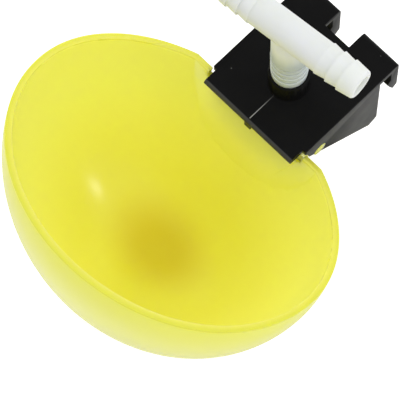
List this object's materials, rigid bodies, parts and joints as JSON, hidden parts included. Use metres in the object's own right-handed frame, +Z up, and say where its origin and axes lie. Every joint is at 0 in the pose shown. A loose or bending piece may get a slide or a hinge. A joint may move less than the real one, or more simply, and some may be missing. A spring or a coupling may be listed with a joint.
{
  "type": "weight-operated drinker bowl",
  "caption": "Hanging drinker bowl for small livestock: a yellow bowl tilts on pins under a black cage bracket, fed by a white barbed hose tee",
  "frame": {"origin": "middle of the wire seat, where the cage wire touches the underside of the two hook tabs", "axes": "+X across the bracket along the hinge, +Y rearward to the cage, +Z up"},
  "size_m": [0.0932, 0.1036, 0.078],
  "materials": {
    "black_plastic": "moulded, satin",
    "yellow_plastic": "moulded, translucent",
    "natural_plastic": "moulded, translucent",
    "white_plastic": "moulded",
    "rubber": "smooth",
    "spring_steel": "drawn wire"
  },
  "bodies": {
    "bracket_body": {"bracket": "black_plastic", "hose_tee": "natural_plastic", "inlet_seal": "rubber", "valve_seat": "white_plastic", "valve_guide_cap": "black_plastic"},
    "bowl_body": {"bowl": "yellow_plastic"},
    "plunger_body": {"valve_plunger": "white_plastic", "valve_seal": "rubber", "return_spring": "spring_steel"}
  },
  "joints": [
    {"name": "bowl_hinge", "type": "hinge", "parent": "bracket_body", "child": "bowl_body", "pos_m": [0, -0.02372, -0.0055], "axis": [1, 0, 0], "range_deg": [0, 19.1], "stiffness_Nm_per_rad": 0.02, "springref_deg": -45.84},
    {"name": "plunger_slide", "type": "slide", "parent": "bracket_body", "child": "plunger_body", "axis": [0, 0, 1], "range_m": [0, 0.00175], "deforming": ["return_spring"]}
  ],
  "couplings": [
    {"joint": "plunger_slide", "follows": "bowl_hinge", "m_per_rad": 0.00521}
  ]
}
